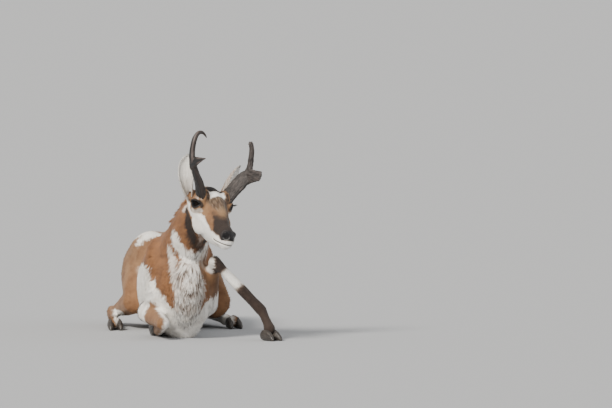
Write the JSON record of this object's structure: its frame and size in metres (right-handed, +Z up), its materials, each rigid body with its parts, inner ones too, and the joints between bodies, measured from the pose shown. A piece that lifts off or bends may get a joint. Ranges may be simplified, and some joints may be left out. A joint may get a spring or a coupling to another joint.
{
  "type": "pronghorn",
  "caption": "Life-size still model of a pronghorn buck, bedded on the floor with its head turned to its left and one foreleg raised at the knee.",
  "frame": {"origin": "middle of the animal's box, on the floor that it lies on", "axes": "+X to the animal's left, +Y from its chest towards its rump, +Z up"},
  "size_m": [0.4727, 1.2421, 0.6834],
  "materials": {
    "coat": "short tan and white hair, matte",
    "horn": "rough dark horn, satin where rubbed",
    "hoof": "dark hoof horn, satin",
    "eye": "wet and glossy"
  },
  "bodies": {
    "root": {"ear_left": "coat", "ear_right": "coat", "eye_left": "eye", "eye_right": "eye", "foreleg_left_cannon": "coat", "foreleg_left_forearm": "coat", "foreleg_left_hoof_left": "hoof", "foreleg_left_hoof_right": "hoof", "foreleg_left_pastern": "coat", "foreleg_right_cannon": "coat", "foreleg_right_forearm": "coat", "foreleg_right_hoof_left": "hoof", "foreleg_right_hoof_right": "hoof", "foreleg_right_pastern": "coat", "head": "coat", "hindleg_left_cannon": "coat", "hindleg_left_hoof_left": "hoof", "hindleg_left_hoof_right": "hoof", "hindleg_left_pastern": "coat", "hindleg_left_shank": "coat", "hindleg_right_cannon": "coat", "hindleg_right_hoof_left": "hoof", "hindleg_right_hoof_right": "hoof", "hindleg_right_pastern": "coat", "hindleg_right_shank": "coat", "horn_left": "horn", "horn_right": "horn", "neck": "coat", "shoulder_left": "coat", "shoulder_right": "coat", "tail": "coat", "thigh_left": "coat", "thigh_right": "coat", "torso": "coat"}
  },
  "joints": []
}
